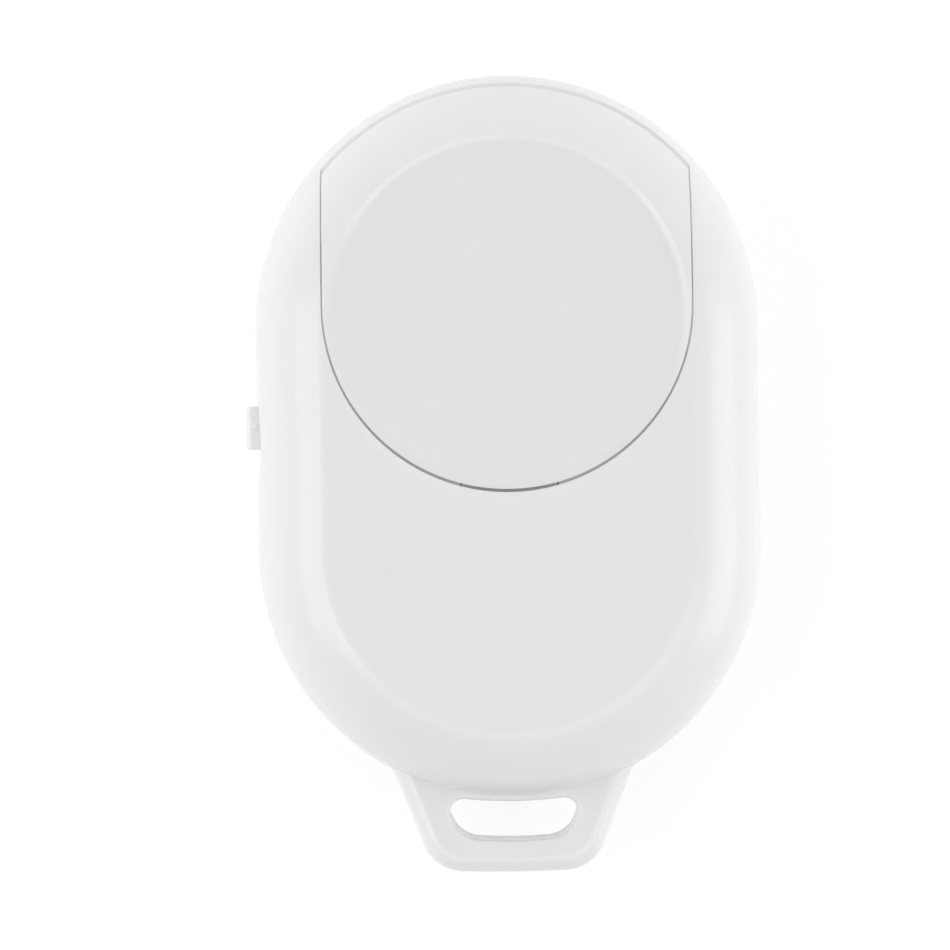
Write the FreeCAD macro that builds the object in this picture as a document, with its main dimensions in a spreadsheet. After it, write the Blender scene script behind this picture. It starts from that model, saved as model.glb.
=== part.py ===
import FreeCAD, Part
import math
import os
import re
import Sketcher

# Bluetooth camera shutter remote, in millimetres.
# The remote lies on its front face, with the battery door up. Z = 0 is the front face.
# X runs across, Y along, with the strap loop at -Y. The origin is the middle of the body.
# Both ends of the body are half round; an offset is measured from the end's own centre.

# Sizes that can be set by themselves.
sizes = {
    # How far a cut runs past the surface that it opens
    "cut_margin": 1.0,
    # Body
    "end_spacing": 14.0,
    "parting_height": 5.0,
    "flank_width": 4.5,
    "flank_foot": 0.5,
    "flank_crease_round": 2.2,
    "front_edge_round": 2.6,
    # Walls
    "rear_wall": 1.2,
    "rear_side_wall": 1.2,
    "rear_inner_bevel": 3.0,
    "front_wall": 1.2,
    "front_side_wall": 1.5,
    "lip_width": 0.6,
    "lip_height": 0.6,
    "lip_gap": 0.1,
    # Strap loop
    "loop_reach": 4.66,
    "loop_root_half": 8.2,
    "loop_root_depth": 0.8,
    "loop_foot_half": 5.2,
    "loop_foot_rise": 0.16,
    "loop_side_round": 84.0,
    "loop_corner_round": 2.75,
    "loop_rear_height": 2.2,
    "loop_front_height": 1.8,
    "loop_edge_round": 1.1,
    "strap_hole_half": 4.05,
    "strap_hole_foot_wall": 2.06,
    "strap_hole_foot_rise": 0.3,
    "strap_hole_corner_round": 2.0,
    "strap_hole_margin": 0.12,
    "strap_hole_head_rise": 0.3,
    "strap_hole_head_round": 0.8,
    "strap_hole_edge_round": 0.3,
    # Battery door
    "door_offset": 1.26,
    "door_skin": 1.1,
    "door_end_step": 0.9,
    "door_end_wall": 0.95,
    "door_side_gap": 0.1,
    "door_foot_gap": 0.2,
    "door_edge_round": 0.12,
    "door_seat_gap": 0.1,
    "door_end_gap": 0.1,
    "sill_height": 3.1,
    # Thumb dish
    "dish_lag": 0.75,
    "dish_overrun": 0.24,
    "dish_ramp": 1.1,
    "dish_depth": 0.22,
    # Bed under the door
    "bed_wall": 1.0,
    "bed_bevel": 2.0,
    "bed_overlap": 1.7,
    # Door tongue, hooks and ribs
    "door_travel": 3.0,
    "tongue_half_width": 3.0,
    "tongue_reach": 1.5,
    "tongue_height": 0.65,
    "tongue_root": 1.0,
    "tongue_gap": 0.15,
    "tongue_side_gap": 0.08,
    "tongue_room": 0.8,
    "hook_width": 0.9,
    "hook_height": 0.75,
    "hook_stem": 0.8,
    "hook_reach": 1.0,
    "hook_gap": 0.15,
    "hook_room": 0.4,
    "hook_side_wall": 0.21,
    "hook_offset": 1.0,
    "rib_length": 7.0,
    "rib_width": 0.8,
    "rib_spacing": 7.0,
    # Coin cell
    "cell_radius": 10.0,
    "cell_height": 3.2,
    "cell_offset": 1.0,
    "cell_gap": 0.3,
    "cell_room": 1.1,
    "cell_edge_bevel": 0.3,
    "crimp_width": 0.6,
    "crimp_rise": 0.2,
    "gasket_width": 0.5,
    "gasket_depth": 0.7,
    "gasket_lip": 0.1,
    "well_wall": 1.0,
    "well_foot_gap": 0.4,
    # Circuit board
    "board_gap": 0.3,
    "board_drop": 1.1,
    "board_thickness": 0.8,
    # Contacts
    "contact_height": 0.9,
    "contact_sheet": 0.2,
    "contact_gap": 0.02,
    "leaf_width": 2.4,
    "leaf_setback": 4.5,
    "leaf_foot": 3.0,
    "leaf_ramp": 2.0,
    "leaf_flat": 2.0,
    "leaf_bend": 0.1,
    "clip_width": 3.6,
    "clip_foot": 2.4,
    "clip_drop": 0.6,
    "clip_room": 0.8,
    # Screws and locating pins
    "screw_rise": 8.0,
    "screw_wall": 0.31,
    "screw_margin": 0.24,
    "screw_drop": 3.0,
    "screw_radius": 0.7,
    "screw_head_radius": 1.1,
    "screw_head_height": 0.8,
    "screw_sink": 0.2,
    "screw_length": 4.6,
    "screw_tip_room": 0.4,
    "screw_clearance": 0.15,
    "screw_bite": 0.05,
    "screw_boss_radius": 1.45,
    "screw_post_radius": 2.05,
    "pin_x": 8.0,
    "pin_offset": 8.6,
    "pin_radius": 0.65,
    "pin_clearance": 0.15,
    "pin_rise": 0.5,
    "pin_post_radius": 1.4,
    "rest_rib_width": 2.0,
    "rest_rib_length": 1.7,
    # Buttons
    "large_button_radius": 7.1,
    "large_button_y": 2.0,
    "small_button_radius": 4.7,
    "button_space": 2.8,
    "button_gap": 0.15,
    "button_recess": 0.25,
    "button_dish": 0.25,
    "button_flange_width": 0.8,
    "button_flange_height": 0.6,
    "button_seat_gap": 0.05,
    "button_bevel": 0.3,
    "button_rim": 0.9,
    "button_ramp": 1.0,
    "button_nub_radius": 1.2,
    "button_travel": 0.25,
    "nub_gap": 0.05,
    "hole_bevel": 0.4,
    "guide_wall": 0.7,
    "guide_gap": 0.2,
    # Press switches under the buttons
    "switch_width": 4.2,
    "switch_height": 1.0,
    "switch_floor_sheet": 0.3,
    "switch_bore_radius": 1.6,
    "switch_sheet": 0.2,
    "skirt_width": 2.4,
    "skirt_depth": 0.5,
    "plunger_radius": 1.0,
    "plunger_flange_radius": 1.4,
    "plunger_flange_height": 0.12,
    "plunger_reach": 0.55,
    "plunger_gap": 0.05,
    "dome_radius": 1.5,
    "dome_spare": 0.05,
    "dome_sheet": 0.08,
    "leg_width": 0.6,
    "leg_length": 0.5,
    "leg_sheet": 0.2,
    "leg_spacing": 2.6,
    # Power switch and its slider
    "slider_y": 0.78,
    "slider_travel": 2.0,
    "slider_length": 2.75,
    "slider_reach": 0.7,
    "slider_height": 1.2,
    "slider_foot": 0.15,
    "slider_gap": 0.15,
    "slider_ridge_half": 0.2,
    "slider_ridge_height": 0.12,
    "slider_edge_round": 0.35,
    "scoop_half": 3.2,
    "scoop_depth": 0.3,
    "flange_height": 1.75,
    "flange_sheet": 0.5,
    "flange_gap": 0.15,
    "flange_overlap": 0.4,
    "bay_room": 0.3,
    "bay_margin": 0.35,
    "slide_body_depth": 2.7,
    "slide_body_length": 6.7,
    "slide_body_height": 1.4,
    "slide_base_height": 0.4,
    "slide_body_gap": 0.45,
    "slide_body_room": 0.1,
    "slide_can_sheet": 0.15,
    "lever_length": 1.3,
    "lever_height": 0.6,
    "lever_rise": 0.6,
    "lever_root": 0.8,
    "lever_gap": 0.1,
    # Light and its window
    "light_space": 4.4,
    "light_radius": 1.0,
    "light_gap": 0.05,
    "light_flange": 0.6,
    "light_flange_height": 0.5,
    "light_pipe_gap": 0.3,
    "light_recess": 0.1,
    "led_length": 1.6,
    "led_width": 0.8,
    "led_height": 0.6,
    # Chips and small parts, in rows one below the other from the contact beside the cell on
    "radio_chip_x": 1.5,
    "radio_chip_gap": 0.9,
    "radio_chip_length": 5.0,
    "radio_chip_width": 5.0,
    "radio_chip_height": 0.9,
    "memory_chip_x": -4.85,
    "memory_chip_gap": 1.8,
    "memory_chip_length": 4.9,
    "memory_chip_width": 3.0,
    "memory_chip_height": 1.0,
    "crystal_can_x": 6.8,
    "crystal_can_gap": 2.5,
    "crystal_can_length": 3.2,
    "crystal_can_width": 2.5,
    "crystal_can_height": 0.7,
    "crystal_can_round": 0.5,
    "capacitors_gap": 1.1,
    "capacitors_length": 1.0,
    "capacitors_width": 0.5,
    "capacitors_height": 0.5,
    "capacitors_count": 6,
    "capacitors_step": 1.2,
    "resistors_gap": 0.6,
    "resistors_length": 1.6,
    "resistors_width": 0.8,
    "resistors_height": 0.45,
    "resistors_count": 4,
    "resistors_step": 1.5,
    "antenna_margin": 0.9,
    "antenna_width": 0.5,
    "antenna_step": 0.9,
    "antenna_length": 3.0,
    "antenna_sheet": 0.1,
    "antenna_fold_count": 4,
}

# Sizes and places that follow from the ones above. Heights count from the front face.
derived = {
    "half_straight": "end_spacing / 2",
    # The stack inside sets how thick the remote is
    "board_height": "parting_height - board_drop",
    "board_top": "board_height + board_thickness",
    "cell_foot": "board_top + contact_height",
    "cell_top": "cell_foot + cell_height",
    "door_underside": "cell_top + cell_room",
    "thickness": "door_underside + door_skin",
    # The cell, the screws beside it and the bed over them set how wide the remote is
    "cell_y": "half_straight + cell_offset",
    "well_radius": "cell_radius + cell_gap",
    "well_outer": "well_radius + well_wall",
    "well_foot": "board_top + well_foot_gap",
    "screw_reach": "well_radius + screw_head_radius + screw_clearance + screw_wall",
    "screw_x": "sqrt(screw_reach * screw_reach - screw_rise * screw_rise)",
    "screw_y": "cell_y + screw_rise",
    "screw_spread": "screw_rise + cell_offset",
    "bed_radius": "sqrt(screw_x * screw_x + screw_spread * screw_spread)"
    " + screw_head_radius + screw_clearance + screw_margin",
    "door_end_radius": "bed_radius + door_seat_gap + door_end_wall",
    "body_radius": "door_end_radius + door_end_step",
    # Body and walls
    "plateau_radius": "body_radius - flank_width",
    "flank_foot_height": "parting_height + flank_foot",
    "flank_rise": "thickness - flank_foot_height",
    "flank_arc": "(flank_width * flank_width + flank_rise * flank_rise) / (2 * flank_width)",
    "cavity_radius": "body_radius - rear_side_wall",
    "cavity_top": "thickness - rear_wall",
    "front_cavity_radius": "body_radius - front_side_wall",
    "lip_outer": "front_cavity_radius + lip_width",
    "sill_top": "parting_height + sill_height",
    # Strap loop
    "loop_top": "parting_height + loop_rear_height",
    "loop_bottom": "parting_height - loop_front_height",
    "loop_inner_y": "half_straight + front_cavity_radius / 2",
    "loop_end_y": "half_straight + body_radius + loop_reach",
    "loop_foot_arc": "(loop_foot_half * loop_foot_half + loop_foot_rise * loop_foot_rise)"
    " / (2 * loop_foot_rise)",
    "strap_hole_head_y": "half_straight + body_radius + strap_hole_margin",
    "strap_hole_head_arc": "(strap_hole_half * strap_hole_half + strap_hole_head_rise * strap_hole_head_rise)"
    " / (2 * strap_hole_head_rise)",
    "strap_hole_foot_y": "loop_end_y - strap_hole_foot_wall",
    "strap_hole_foot_arc": "(strap_hole_half * strap_hole_half + strap_hole_foot_rise * strap_hole_foot_rise)"
    " / (2 * strap_hole_foot_rise)",
    # Door, doorway and bed
    "door_half_width": "hook_inner_x + hook_width + hook_side_wall",
    "door_arc_y": "half_straight + door_offset",
    "door_foot_y": "door_arc_y - door_half_width",
    "bed_top": "door_underside - door_seat_gap",
    "bed_underside": "bed_top - bed_wall",
    "bed_inner_radius": "bed_radius - bed_wall",
    "bed_inner_bevel": "bed_bevel - bed_wall / 2",
    "bed_foot_y": "door_foot_y - bed_overlap",
    "opening_half_width": "door_half_width + door_side_gap",
    "opening_arc_y": "door_arc_y + door_side_gap - door_foot_gap",
    "dish_y": "door_arc_y - dish_lag",
    "dish_radius": "door_half_width + dish_overrun",
    "dish_floor_radius": "dish_radius - dish_ramp",
    "dish_ramp_arc": "(dish_ramp * dish_ramp + dish_depth * dish_depth) / (4 * dish_depth)",
    "tongue_top": "bed_top - tongue_gap",
    "tongue_root_y": "door_arc_y"
    " - sqrt(door_half_width * door_half_width - tongue_half_width * tongue_half_width)",
    "hook_top": "bed_underside - hook_gap",
    "hook_inner_x": "well_radius + hook_gap",
    "hook_y": "cell_y + hook_offset",
    # Board and fasteners
    "board_radius": "front_cavity_radius - board_gap",
    "screw_boss_top": "bed_top - screw_drop",
    "screw_seat_height": "screw_boss_top - screw_sink",
    "screw_foot": "screw_seat_height - screw_length",
    "pin_y": "half_straight + pin_offset",
    # Buttons and press switches
    "small_button_y": "large_button_y - large_button_radius - small_button_radius - button_space",
    "button_flange_foot": "front_wall + button_seat_gap",
    "button_back": "button_flange_foot + button_flange_height",
    "guide_top": "button_back + button_travel",
    "switch_face": "board_height - switch_height",
    "switch_floor": "board_height - switch_floor_sheet",
    "plunger_tip": "switch_face - plunger_reach",
    "nub_top": "plunger_tip - nub_gap",
    "dome_rise": "button_travel + dome_spare",
    "dome_arc": "(dome_radius * dome_radius + dome_rise * dome_rise) / (2 * dome_rise)",
    "dome_inner_radius": "dome_radius - dome_sheet",
    "dome_inner_rise": "dome_rise - dome_sheet",
    "dome_inner_arc": "(dome_inner_radius * dome_inner_radius + dome_inner_rise * dome_inner_rise)"
    " / (2 * dome_inner_rise)",
    # Power switch
    "slider_wall_x": "cavity_radius - flange_gap",
    "slot_half": "slider_length / 2 + slider_travel / 2 + slider_gap",
    "slot_y": "slider_y - slider_travel / 2",
    "flange_half": "slot_half + slider_travel / 2 + flange_overlap",
    "bay_half": "flange_half + slider_travel / 2 + bay_margin",
    "slide_front_x": "slider_wall_x - flange_sheet - slide_body_gap",
    "slider_base": "parting_height + slider_foot",
    "scoop_arc": "(scoop_half * scoop_half + scoop_depth * scoop_depth) / (2 * scoop_depth)",
    # Chips and small parts
    "resistors_y": "cell_y - cell_radius - clip_foot - resistors_gap - resistors_length / 2",
    "chip_row_y": "resistors_y - resistors_length / 2",
    "radio_chip_y": "chip_row_y - radio_chip_gap - radio_chip_width / 2",
    "memory_chip_y": "chip_row_y - memory_chip_gap - memory_chip_width / 2",
    "crystal_can_y": "chip_row_y - crystal_can_gap - crystal_can_width / 2",
    "capacitors_y": "radio_chip_y - radio_chip_width / 2 - capacitors_gap - capacitors_length / 2",
    # Light
    "light_y": "large_button_y + large_button_radius + light_space",
}


def formula(text):
    # Each named size becomes a reference to its cell, each derived size its own formula.
    def spelled(word):
        name = word[0]
        if name in sizes:
            return "Sizes." + name
        if name in derived:
            return "(" + formula(derived[name]) + ")"
        return name

    return re.sub(r"[a-z][a-z_]*", spelled, str(text))


def value(text):
    return float(sheet.evalExpression(formula(text)))


def bind(item, name, text):
    item.setExpression(name, formula(text))


doc = FreeCAD.newDocument("ShutterRemote")
sheet = doc.addObject("Spreadsheet::Sheet", "Sizes")
for row, (alias, number) in enumerate(sizes.items(), 1):
    sheet.set(f"A{row}", alias)
    sheet.set(f"B{row}", str(number))
    sheet.setAlias(f"B{row}", alias)
doc.recompute()

nodes = []


def new_body(label):
    body = doc.addObject("PartDesign::Body", label)
    body.Label = label
    nodes.append(body)
    return body


def new_sketch(body, role, lift, shift="0"):
    # lift moves the drawing along its plane's normal, shift along its own x.
    drawing = body.newObject("Sketcher::SketchObject", body.Label + "_drawing")
    plane = next(item for item in body.Origin.OriginFeatures if item.Role == role)
    drawing.AttachmentSupport = [(plane, "")]
    drawing.MapMode = "FlatFace"
    bind(drawing, "AttachmentOffset.Base.x", shift)
    bind(drawing, "AttachmentOffset.Base.z", lift)
    doc.recompute()
    return drawing


def pin(drawing, item, point, x, y):
    # Ties one point of a drawing to its two coordinates.
    for kind, axis, text in (("DistanceX", -2, x), ("DistanceY", -1, y)):
        if text is None:
            continue
        if str(text) == "0":
            drawing.addConstraint(Sketcher.Constraint("PointOnObject", item, point, axis))
            continue
        number = drawing.addConstraint(Sketcher.Constraint(kind, -1, 1, item, point, value(text)))
        bind(drawing, f"Constraints[{number}]", text)


def arc_middle(start, end, radius, turn):
    # The middle point of the short arc from start to end; it turns left for "left".
    chord = end - start
    half = chord.Length / 2
    rise = radius - math.sqrt(max(radius * radius - half * half, 0.0))
    side = FreeCAD.Vector(chord.y, -chord.x, 0).normalize()
    if turn == "right":
        side = side * -1
    return (start + end) * 0.5 + side * rise


def outline(drawing, corners):
    # A closed line through the corners. A corner is (x, y), reached by a straight edge,
    # (x, y, turn, radius), reached by an arc, or (x, y, "half"), reached by a half circle
    # that turns left, or "half right".
    points = [FreeCAD.Vector(value(corner[0]), value(corner[1]), 0) for corner in corners]
    first = drawing.GeometryCount
    for number, corner in enumerate(corners):
        start = points[number - 1]
        end = points[number]
        if len(corner) == 2:
            drawing.addGeometry(Part.LineSegment(start, end), False)
            continue
        turn = "right" if "right" in corner[2] else "left"
        radius = value(corner[3]) if len(corner) == 4 else (end - start).Length / 2
        drawing.addGeometry(Part.Arc(start, arc_middle(start, end, radius, turn), end), False)
    ends = []
    for number, corner in enumerate(corners):
        item = first + number
        # An arc is stored anticlockwise, so one that turns right begins at its far end.
        swapped = len(corner) > 2 and "right" in corner[2]
        ends.append((item, 2, 1) if swapped else (item, 1, 2))
    for number, corner in enumerate(corners):
        item, begin, finish = ends[number]
        following = ends[(number + 1) % len(corners)]
        drawing.addConstraint(Sketcher.Constraint("Coincident", item, finish, following[0], following[1]))
        pin(drawing, item, finish, corner[0], corner[1])
        if len(corner) == 4:
            tie = drawing.addConstraint(Sketcher.Constraint("Radius", item, value(corner[3])))
            bind(drawing, f"Constraints[{tie}]", corner[3])
        if len(corner) == 3:
            pin(drawing, item, 3, None, corner[1])


def circle(drawing, x, y, radius):
    centre = FreeCAD.Vector(value(x), value(y), 0)
    item = drawing.addGeometry(Part.Circle(centre, FreeCAD.Vector(0, 0, 1), value(radius)), False)
    pin(drawing, item, 3, x, y)
    tie = drawing.addConstraint(Sketcher.Constraint("Radius", item, value(radius)))
    bind(drawing, f"Constraints[{tie}]", radius)


def rectangle(drawing, low_x, low_y, high_x, high_y):
    outline(drawing, [(low_x, low_y), (high_x, low_y), (high_x, high_y), (low_x, high_y)])


def stadium(drawing, radius):
    # The body's outline, or one set in from it.
    outline(drawing, [
        (radius, "half_straight"),
        (f"-({radius})", "half_straight", "half"),
        (f"-({radius})", "-half_straight"),
        (radius, "-half_straight", "half"),
    ])


def grow(body, feature, cut):
    # Rebuilds the body and makes sure that the new feature changed it the right way.
    before = body.Shape.Volume if not body.Shape.isNull() else 0.0
    doc.recompute()
    change = body.Shape.Volume - before
    if (change >= 0) if cut else (change <= 0):
        raise ValueError(f"{body.Label}: {feature.Name} changed nothing")


def prism(body, role, low, high, draw, cut=False):
    # A straight solid, or cut, of the outlines that draw makes, from low to high along
    # the plane's own axis.
    lift = f"-({high})" if role == "XZ_Plane" else low
    drawing = new_sketch(body, role, lift)
    draw(drawing)
    feature = body.newObject("PartDesign::Pocket" if cut else "PartDesign::Pad", body.Label + "_prism")
    feature.Profile = drawing
    bind(feature, "Length", f"({high}) - ({low})")
    feature.Reversed = cut
    grow(body, feature, cut)
    return feature


def turned(body, x, y, corners, cut=False, sweep=360, backwards=False):
    # A solid of revolution, or cut, about an upright axis at x, y. Corners are radius, height.
    drawing = new_sketch(body, "XZ_Plane", f"-({y})", x)
    outline(drawing, corners)
    kind = "Groove" if cut else "Revolution"
    feature = body.newObject("PartDesign::" + kind, body.Label + "_turned")
    feature.Profile = drawing
    feature.ReferenceAxis = (drawing, ["V_Axis"])
    feature.Angle = sweep
    feature.Reversed = backwards
    grow(body, feature, cut)
    return feature


def rounded(body, radius, tool, pick, kind="Fillet"):
    # A fillet, or chamfer, on the edges that pick chooses.
    doc.recompute()
    base = body.Tip
    names = [f"Edge{number}" for number, edge in enumerate(base.Shape.Edges, 1) if pick(edge)]
    if not names:
        raise ValueError(f"{body.Label}: no edge for {tool}")
    feature = body.newObject("PartDesign::" + kind, body.Label + "_" + tool)
    feature.Base = (base, names)
    bind(feature, "Radius" if kind == "Fillet" else "Size", radius)
    doc.recompute()
    return feature


def level(edge, height):
    return abs(edge.BoundBox.ZMin - height) < 1e-4 and abs(edge.BoundBox.ZMax - height) < 1e-4


def both_halves(half):
    # The right half of a section, from its foot to its top, and its mirror image.
    right = half[1:-1]
    left = []
    for number in range(len(half) - 2, 0, -1):
        edge = half[number + 1][2:]
        left.append((f"-({half[number][0]})", half[number][1]) + tuple(edge))
    return [tuple(right[0][:2])] + right[1:] + left


def long_solid(body, half, low="-half_straight", ends=("low", "high"), cut=False):
    # A section carried along the body: straight from low on, and turned about each end
    # that is asked for. Half is the section's right half, as radius and height.
    if "high" in ends:
        turned(body, "0", "half_straight", half, cut, 180)
    if "low" in ends:
        turned(body, "0", "-half_straight", half, cut, 180, True)
    prism(body, "XZ_Plane", low, "half_straight", lambda drawing: outline(drawing, both_halves(half)), cut)


def rear_dome(body):
    # The rear form: a flat plateau, a flank that rolls down to an upright foot.
    long_solid(body, [
        ("0", "parting_height"),
        ("body_radius", "parting_height"),
        ("body_radius", "flank_foot_height"),
        ("plateau_radius", "thickness", "left", "flank_arc"),
        ("0", "thickness"),
    ])
    top = value("thickness")
    rounded(body, "flank_crease_round", "crease", lambda edge: level(edge, top))


def thumb_dish(body):
    # A shallow round dish with a soft rim and a flat floor, turned about its own upright axis.
    turned(body, "0", "dish_y", [
        ("0", "thickness + cut_margin"),
        ("0", "thickness - dish_depth"),
        ("dish_floor_radius", "thickness - dish_depth"),
        ("dish_radius - dish_ramp / 2", "thickness - dish_depth / 2", "left", "dish_ramp_arc"),
        ("dish_radius", "thickness", "right", "dish_ramp_arc"),
        ("dish_radius", "thickness + cut_margin"),
    ], cut=True)


def loop_outline(drawing):
    # The strap loop's tapering tab with a bowed foot. It starts inside the body.
    root_radius = "(body_radius - loop_root_depth)"
    root_y = f"-half_straight - sqrt({root_radius} * {root_radius} - loop_root_half * loop_root_half)"
    foot_y = "loop_foot_rise - loop_end_y"
    outline(drawing, [
        ("-loop_root_half", root_y),
        ("-loop_foot_half", foot_y, "right", "loop_side_round"),
        ("loop_foot_half", foot_y, "left", "loop_foot_arc"),
        ("loop_root_half", root_y, "right", "loop_side_round"),
        ("loop_root_half", "-loop_inner_y"),
        ("-loop_root_half", "-loop_inner_y"),
    ])


def strap_hole(drawing):
    # The strap's hole, just outside the body's end; its head and its foot are bowed.
    head_y = "strap_hole_head_rise - strap_hole_head_y"
    foot_y = "strap_hole_foot_rise - strap_hole_foot_y"
    outline(drawing, [
        ("strap_hole_half", head_y),
        ("-strap_hole_half", head_y, "right", "strap_hole_head_arc"),
        ("-strap_hole_half", foot_y),
        ("strap_hole_half", foot_y, "left", "strap_hole_foot_arc"),
    ])


def upright(edge):
    # Straight up: its two ends have the same x and y.
    first = edge.valueAt(edge.FirstParameter)
    last = edge.valueAt(edge.LastParameter)
    return abs(last.z - first.z) > 0.1 and math.hypot(last.x - first.x, last.y - first.y) < 1e-4


def loop_half(body, low, high, face):
    # Half of the strap loop, its rim and its hole's rim rounded at the height called face.
    prism(body, "XY_Plane", low, high, loop_outline)
    height = value(face)
    foot_y = value("loop_foot_rise - loop_end_y") + 1e-3
    rounded(body, "loop_corner_round", "loop_corner",
            lambda edge: upright(edge) and edge.CenterOfMass.y < foot_y)
    root_half = value("loop_root_half") - 1e-3
    inner_y = -value("loop_inner_y") - 1e-3

    def outer_rim(edge):
        centre = edge.CenterOfMass
        return level(edge, height) and abs(centre.x) < root_half and centre.y < inner_y

    rounded(body, "loop_edge_round", "loop_rim", outer_rim)
    prism(body, "XY_Plane", low, high, strap_hole, cut=True)
    side = value("strap_hole_half") + 1e-3
    hole_head_y = value("strap_hole_head_rise - strap_hole_head_y")
    hole_foot_y = value("strap_hole_foot_rise - strap_hole_foot_y")

    def in_hole(edge):
        centre = edge.CenterOfMass
        return abs(centre.x) < side and -value("strap_hole_foot_y") - 1e-3 < centre.y < hole_head_y + 1e-3

    rounded(body, "strap_hole_corner_round", "hole_corner",
            lambda edge: upright(edge) and in_hole(edge) and edge.CenterOfMass.y < hole_foot_y + 1e-3)
    rounded(body, "strap_hole_head_round", "hole_head",
            lambda edge: upright(edge) and in_hole(edge) and edge.CenterOfMass.y > hole_head_y - 1e-3)
    rounded(body, "strap_hole_edge_round", "hole_rim",
            lambda edge: level(edge, height) and in_hole(edge))


def cavity_section(radius, top, corner, foot):
    # The right half of a hollow: upright wall, bevelled corner, flat top.
    return [
        ("0", foot),
        (radius, foot),
        (radius, f"{top} - ({corner})"),
        (f"{radius} - ({corner})", top),
        ("0", top),
    ]


def opening(drawing):
    # The doorway: a half round foot, straight sides, open at the body's end.
    outline(drawing, [
        ("-opening_half_width", "opening_arc_y"),
        ("opening_half_width", "opening_arc_y", "half"),
        ("opening_half_width", "half_straight + body_radius + cut_margin"),
        ("-opening_half_width", "half_straight + body_radius + cut_margin"),
    ])


def lower_u(drawing, radius, top):
    # The lower part of a stadium, cut straight at top.
    outline(drawing, [
        (f"-({radius})", "-half_straight"),
        (radius, "-half_straight", "half"),
        (radius, top),
        (f"-({radius})", top),
    ])


def box(body, corners, cut=False):
    # A box from six lengths: low x, y, z and high x, y, z.
    low_x, low_y, low_z, high_x, high_y, high_z = corners
    prism(body, "XY_Plane", low_z, high_z,
          lambda drawing: rectangle(drawing, low_x, low_y, high_x, high_y), cut)


def side_boxes(body, corners, cut=False):
    # The same box on both sides of the middle.
    low_x, low_y, low_z, high_x, high_y, high_z = corners

    def draw(drawing):
        rectangle(drawing, low_x, low_y, high_x, high_y)
        rectangle(drawing, f"-({high_x})", low_y, f"-({low_x})", high_y)

    prism(body, "XY_Plane", low_z, high_z, draw, cut)


def side_rounds(body, x, y, radius, low, high, cut=False):
    # The same round post or hole on both sides of the middle.
    def draw(drawing):
        circle(drawing, x, y, radius)
        circle(drawing, f"-({x})", y, radius)

    prism(body, "XY_Plane", low, high, draw, cut)


def ring(body, x, y, outer, inner, low, high):
    # A round wall, such as a well or a guide.
    def draw(drawing):
        circle(drawing, x, y, outer)
        circle(drawing, x, y, inner)

    prism(body, "XY_Plane", low, high, draw)


def scoop(drawing):
    # A shallow scoop in the side wall, round the slider.
    outline(drawing, [
        ("-body_radius - cut_margin", "slot_y + scoop_half"),
        ("-body_radius - cut_margin", "slot_y - scoop_half"),
        ("-body_radius", "slot_y - scoop_half"),
        ("-body_radius", "slot_y + scoop_half", "left", "scoop_arc"),
    ])


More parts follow.
